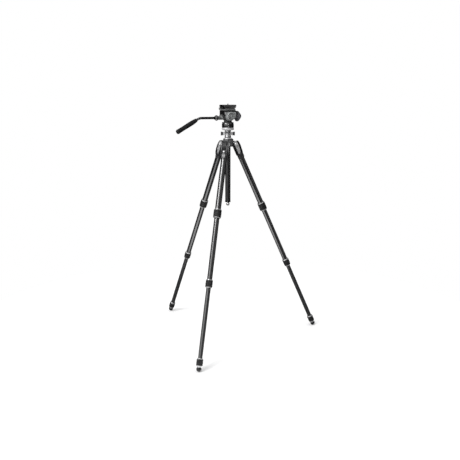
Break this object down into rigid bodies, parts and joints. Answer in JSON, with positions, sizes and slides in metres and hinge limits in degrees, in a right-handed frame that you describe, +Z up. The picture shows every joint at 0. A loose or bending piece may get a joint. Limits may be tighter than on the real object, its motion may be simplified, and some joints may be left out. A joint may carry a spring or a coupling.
{
  "type": "tripod with fluid head",
  "caption": "Carbon tripod with twist-lock legs, a rising centre column and a two-way fluid head with a bent pan bar and quick release plate.",
  "frame": {"origin": "on the floor, under the axis of the centre column", "axes": "+Z up, the front leg towards -Y, +X to the right of someone facing the front leg from -Y"},
  "size_m": [0.863, 0.7506, 1.197],
  "materials": {
    "carbon_tube": "clear-coated carbon fibre weave",
    "cast_alloy": "speckled grey powder coat",
    "light_alloy": "satin light silver",
    "head_alloy": "hammered dark grey paint",
    "black_alloy": "semi-gloss black anodised",
    "steel": "turned steel",
    "grip_rubber": "ribbed matt rubber",
    "black_plastic": "fine texture"
  },
  "bodies": {
    "tripod_top": {"spider": "cast_alloy", "hinge_bolts": "steel", "column_bushing": "black_plastic"},
    "collar": {"column_collar": "light_alloy"},
    "column": {"column_tube": "carbon_tube", "top_disc": "light_alloy", "head_stud": "steel", "column_end_cap": "black_alloy", "hook_spring": "steel", "pan_base": "black_alloy"},
    "hook": {"weight_hook": "black_alloy"},
    "pan_lock": {"pan_lock_knob": "grip_rubber"},
    "pan_turret": {"turret": "head_alloy", "pan_shaft": "steel"},
    "cradle": {"tilt_cradle": "head_alloy", "tilt_shaft": "steel", "tilt_axis_cap": "light_alloy", "clamp_base": "black_alloy"},
    "tilt_lock": {"tilt_lock_cone": "grip_rubber"},
    "jaw": {"clamp_jaw": "black_alloy"},
    "clamp_screw": {"clamp_knob": "light_alloy"},
    "plate_button": {"safety_button": "light_alloy"},
    "plate": {"quick_plate": "black_alloy", "plate_pad": "grip_rubber"},
    "plate_screw": {"camera_screw": "steel"},
    "bar": {"bar_holder": "head_alloy", "pan_bar": "black_alloy", "bar_grip": "grip_rubber"},
    "rosette_lock": {"rosette_knob": "grip_rubber"},
    "bar_lock": {"bar_collar": "black_alloy"},
    "front_leg": {"front_casting": "cast_alloy", "front_tube_1": "carbon_tube"},
    "front_latch": {"front_angle_latch": "black_plastic"},
    "front_twist_lock_1": {"front_lock_1": "grip_rubber"},
    "front_section_2": {"front_tube_2": "carbon_tube"},
    "front_twist_lock_2": {"front_lock_2": "grip_rubber"},
    "front_section_3": {"front_tube_3": "carbon_tube"},
    "front_twist_lock_3": {"front_lock_3": "grip_rubber"},
    "front_section_4": {"front_tube_4": "carbon_tube", "front_foot": "grip_rubber"},
    "right_leg": {"right_casting": "cast_alloy", "right_tube_1": "carbon_tube"},
    "right_latch": {"right_angle_latch": "black_plastic"},
    "right_twist_lock_1": {"right_lock_1": "grip_rubber"},
    "right_section_2": {"right_tube_2": "carbon_tube"},
    "right_twist_lock_2": {"right_lock_2": "grip_rubber"},
    "right_section_3": {"right_tube_3": "carbon_tube"},
    "right_twist_lock_3": {"right_lock_3": "grip_rubber"},
    "right_section_4": {"right_tube_4": "carbon_tube", "right_foot": "grip_rubber"},
    "left_leg": {"left_casting": "cast_alloy", "left_tube_1": "carbon_tube"},
    "left_latch": {"left_angle_latch": "black_plastic"},
    "left_twist_lock_1": {"left_lock_1": "grip_rubber"},
    "left_section_2": {"left_tube_2": "carbon_tube"},
    "left_twist_lock_2": {"left_lock_2": "grip_rubber"},
    "left_section_3": {"left_tube_3": "carbon_tube"},
    "left_twist_lock_3": {"left_lock_3": "grip_rubber"},
    "left_section_4": {"left_tube_4": "carbon_tube", "left_foot": "grip_rubber"}
  },
  "joints": [
    {"name": "column_slide", "type": "slide", "parent": "tripod_top", "child": "column", "axis": [0, 0, 1], "range_m": [0, 0.25]},
    {"name": "collar_twist", "type": "hinge", "parent": "tripod_top", "child": "collar", "pos_m": [0, 0, 1.04848], "axis": [0, 0, 1], "range_deg": [0, 90]},
    {"name": "hook_pull", "type": "slide", "parent": "column", "child": "hook", "axis": [0, 0, 1], "range_m": [-0.015, 0], "stiffness_N_per_m": 300, "springref_m": 0.008, "deforming": ["hook_spring"]},
    {"name": "pan_lock_turn", "type": "hinge", "parent": "column", "child": "pan_lock", "pos_m": [0.02125, -0.0315, 1.09348], "axis": [0.5592, -0.829, 0], "range_deg": [0, 270]},
    {"name": "pan", "type": "hinge", "parent": "column", "child": "pan_turret", "pos_m": [0, 0, 1.08048], "axis": [0, 0, 1], "continuous": true},
    {"name": "tilt", "type": "hinge", "parent": "pan_turret", "child": "cradle", "pos_m": [0, 0, 1.13648], "axis": [0.7314, -0.682, 0], "range_deg": [-25, 50], "stiffness_Nm_per_rad": 30},
    {"name": "tilt_lock_turn", "type": "hinge", "parent": "cradle", "child": "tilt_lock", "pos_m": [0.0341, 0.03657, 1.13648], "axis": [0.682, 0.7314, 0], "range_deg": [0, 180]},
    {"name": "clamp_screw_turn", "type": "hinge", "parent": "cradle", "child": "clamp_screw", "pos_m": [-0.03831, 0.00291, 1.17348], "axis": [-0.7314, 0.682, 0], "range_deg": [0, 360]},
    {"name": "jaw_slide", "type": "slide", "parent": "cradle", "child": "jaw", "axis": [0.7314, -0.682, 0], "range_m": [0, 0.0025]},
    {"name": "button_press", "type": "slide", "parent": "cradle", "child": "plate_button", "axis": [-0.7314, 0.682, 0], "range_m": [0, 0.0018], "stiffness_N_per_m": 150, "springref_m": -0.002},
    {"name": "plate_slide", "type": "slide", "parent": "cradle", "child": "plate", "axis": [0.682, 0.7314, 0], "range_m": [-0.02, 0.02]},
    {"name": "camera_screw_turn", "type": "hinge", "parent": "plate", "child": "plate_screw", "pos_m": [0, 0, 1.18048], "axis": [0, 0, 1], "continuous": true},
    {"name": "bar_angle", "type": "hinge", "parent": "cradle", "child": "bar", "pos_m": [-0.02267, 0.02114, 1.13648], "axis": [-0.7314, 0.682, 0], "range_deg": [-40, 30], "stiffness_Nm_per_rad": 50},
    {"name": "rosette_lock_turn", "type": "hinge", "parent": "bar", "child": "rosette_lock", "pos_m": [-0.03657, 0.0341, 1.13648], "axis": [-0.7314, 0.682, 0], "range_deg": [0, 270]},
    {"name": "bar_lock_turn", "type": "hinge", "parent": "bar", "child": "bar_lock", "pos_m": [-0.05946, 0.00075, 1.12748], "axis": [0.682, 0.7314, 0], "range_deg": [0, 90]},
    {"name": "front_leg_fold", "type": "hinge", "parent": "tripod_top", "child": "front_leg", "pos_m": [0, -0.039, 0.99998], "axis": [-1, 0, 0], "range_deg": [-24.25, 56], "stiffness_Nm_per_rad": 2500},
    {"name": "front_latch_pull", "type": "hinge", "parent": "front_leg", "child": "front_latch", "pos_m": [0, -0.06545, 0.97899], "axis": [1, 0, 0], "range_deg": [0, 20], "stiffness_Nm_per_rad": 0.2, "springref_deg": -20.05},
    {"name": "front_lock_1_twist", "type": "hinge", "parent": "front_leg", "child": "front_twist_lock_1", "pos_m": [0, -0.18357, 0.67904], "axis": [0, -0.4107, -0.9118], "range_deg": [0, 120]},
    {"name": "front_section_2_slide", "type": "slide", "parent": "front_leg", "child": "front_section_2", "axis": [0, -0.4107, -0.9118], "range_m": [-0.29, 0], "stiffness_N_per_m": 20000},
    {"name": "front_lock_2_twist", "type": "hinge", "parent": "front_section_2", "child": "front_twist_lock_2", "pos_m": [0, -0.32281, 0.36995], "axis": [0, -0.4107, -0.9118], "range_deg": [0, 120]},
    {"name": "front_section_3_slide", "type": "slide", "parent": "front_section_2", "child": "front_section_3", "axis": [0, -0.4107, -0.9118], "range_m": [-0.322, 0], "stiffness_N_per_m": 20000},
    {"name": "front_lock_3_twist", "type": "hinge", "parent": "front_section_3", "child": "front_twist_lock_3", "pos_m": [0, -0.4719, 0.03898], "axis": [0, -0.4107, -0.9118], "range_deg": [0, 120]},
    {"name": "front_section_4_slide", "type": "slide", "parent": "front_section_3", "child": "front_section_4", "axis": [0, -0.4107, -0.9118], "range_m": [0, 0.33]},
    {"name": "right_leg_fold", "type": "hinge", "parent": "tripod_top", "child": "right_leg", "pos_m": [0.03377, 0.0195, 0.99998], "axis": [0.5, -0.866, 0], "range_deg": [-24.25, 56], "stiffness_Nm_per_rad": 2500},
    {"name": "right_latch_pull", "type": "hinge", "parent": "right_leg", "child": "right_latch", "pos_m": [0.05668, 0.03273, 0.97899], "axis": [-0.5, 0.866, 0], "range_deg": [0, 20], "stiffness_Nm_per_rad": 0.2, "springref_deg": -20.05},
    {"name": "right_lock_1_twist", "type": "hinge", "parent": "right_leg", "child": "right_twist_lock_1", "pos_m": [0.15898, 0.09179, 0.67904], "axis": [0.3557, 0.2054, -0.9118], "range_deg": [0, 120]},
    {"name": "right_section_2_slide", "type": "slide", "parent": "right_leg", "child": "right_section_2", "axis": [0.3557, 0.2054, -0.9118], "range_m": [-0.29, 0], "stiffness_N_per_m": 20000},
    {"name": "right_lock_2_twist", "type": "hinge", "parent": "right_section_2", "child": "right_twist_lock_2", "pos_m": [0.27956, 0.1614, 0.36995], "axis": [0.3557, 0.2054, -0.9118], "range_deg": [0, 120]},
    {"name": "right_section_3_slide", "type": "slide", "parent": "right_section_2", "child": "right_section_3", "axis": [0.3557, 0.2054, -0.9118], "range_m": [-0.322, 0], "stiffness_N_per_m": 20000},
    {"name": "right_lock_3_twist", "type": "hinge", "parent": "right_section_3", "child": "right_twist_lock_3", "pos_m": [0.40868, 0.23595, 0.03898], "axis": [0.3557, 0.2054, -0.9118], "range_deg": [0, 120]},
    {"name": "right_section_4_slide", "type": "slide", "parent": "right_section_3", "child": "right_section_4", "axis": [0.3557, 0.2054, -0.9118], "range_m": [0, 0.33]},
    {"name": "left_leg_fold", "type": "hinge", "parent": "tripod_top", "child": "left_leg", "pos_m": [-0.03377, 0.0195, 0.99998], "axis": [0.5, 0.866, 0], "range_deg": [-24.25, 56], "stiffness_Nm_per_rad": 2500},
    {"name": "left_latch_pull", "type": "hinge", "parent": "left_leg", "child": "left_latch", "pos_m": [-0.05668, 0.03273, 0.97899], "axis": [-0.5, -0.866, 0], "range_deg": [0, 20], "stiffness_Nm_per_rad": 0.2, "springref_deg": -20.05},
    {"name": "left_lock_1_twist", "type": "hinge", "parent": "left_leg", "child": "left_twist_lock_1", "pos_m": [-0.15898, 0.09179, 0.67904], "axis": [-0.3557, 0.2054, -0.9118], "range_deg": [0, 120]},
    {"name": "left_section_2_slide", "type": "slide", "parent": "left_leg", "child": "left_section_2", "axis": [-0.3557, 0.2054, -0.9118], "range_m": [-0.29, 0], "stiffness_N_per_m": 20000},
    {"name": "left_lock_2_twist", "type": "hinge", "parent": "left_section_2", "child": "left_twist_lock_2", "pos_m": [-0.27956, 0.1614, 0.36995], "axis": [-0.3557, 0.2054, -0.9118], "range_deg": [0, 120]},
    {"name": "left_section_3_slide", "type": "slide", "parent": "left_section_2", "child": "left_section_3", "axis": [-0.3557, 0.2054, -0.9118], "range_m": [-0.322, 0], "stiffness_N_per_m": 20000},
    {"name": "left_lock_3_twist", "type": "hinge", "parent": "left_section_3", "child": "left_twist_lock_3", "pos_m": [-0.40868, 0.23595, 0.03898], "axis": [-0.3557, 0.2054, -0.9118], "range_deg": [0, 120]},
    {"name": "left_section_4_slide", "type": "slide", "parent": "left_section_3", "child": "left_section_4", "axis": [-0.3557, 0.2054, -0.9118], "range_m": [0, 0.33]}
  ],
  "couplings": [
    {"joint": "clamp_screw_turn", "follows": "jaw_slide", "rad_per_m": 2513.3}
  ]
}
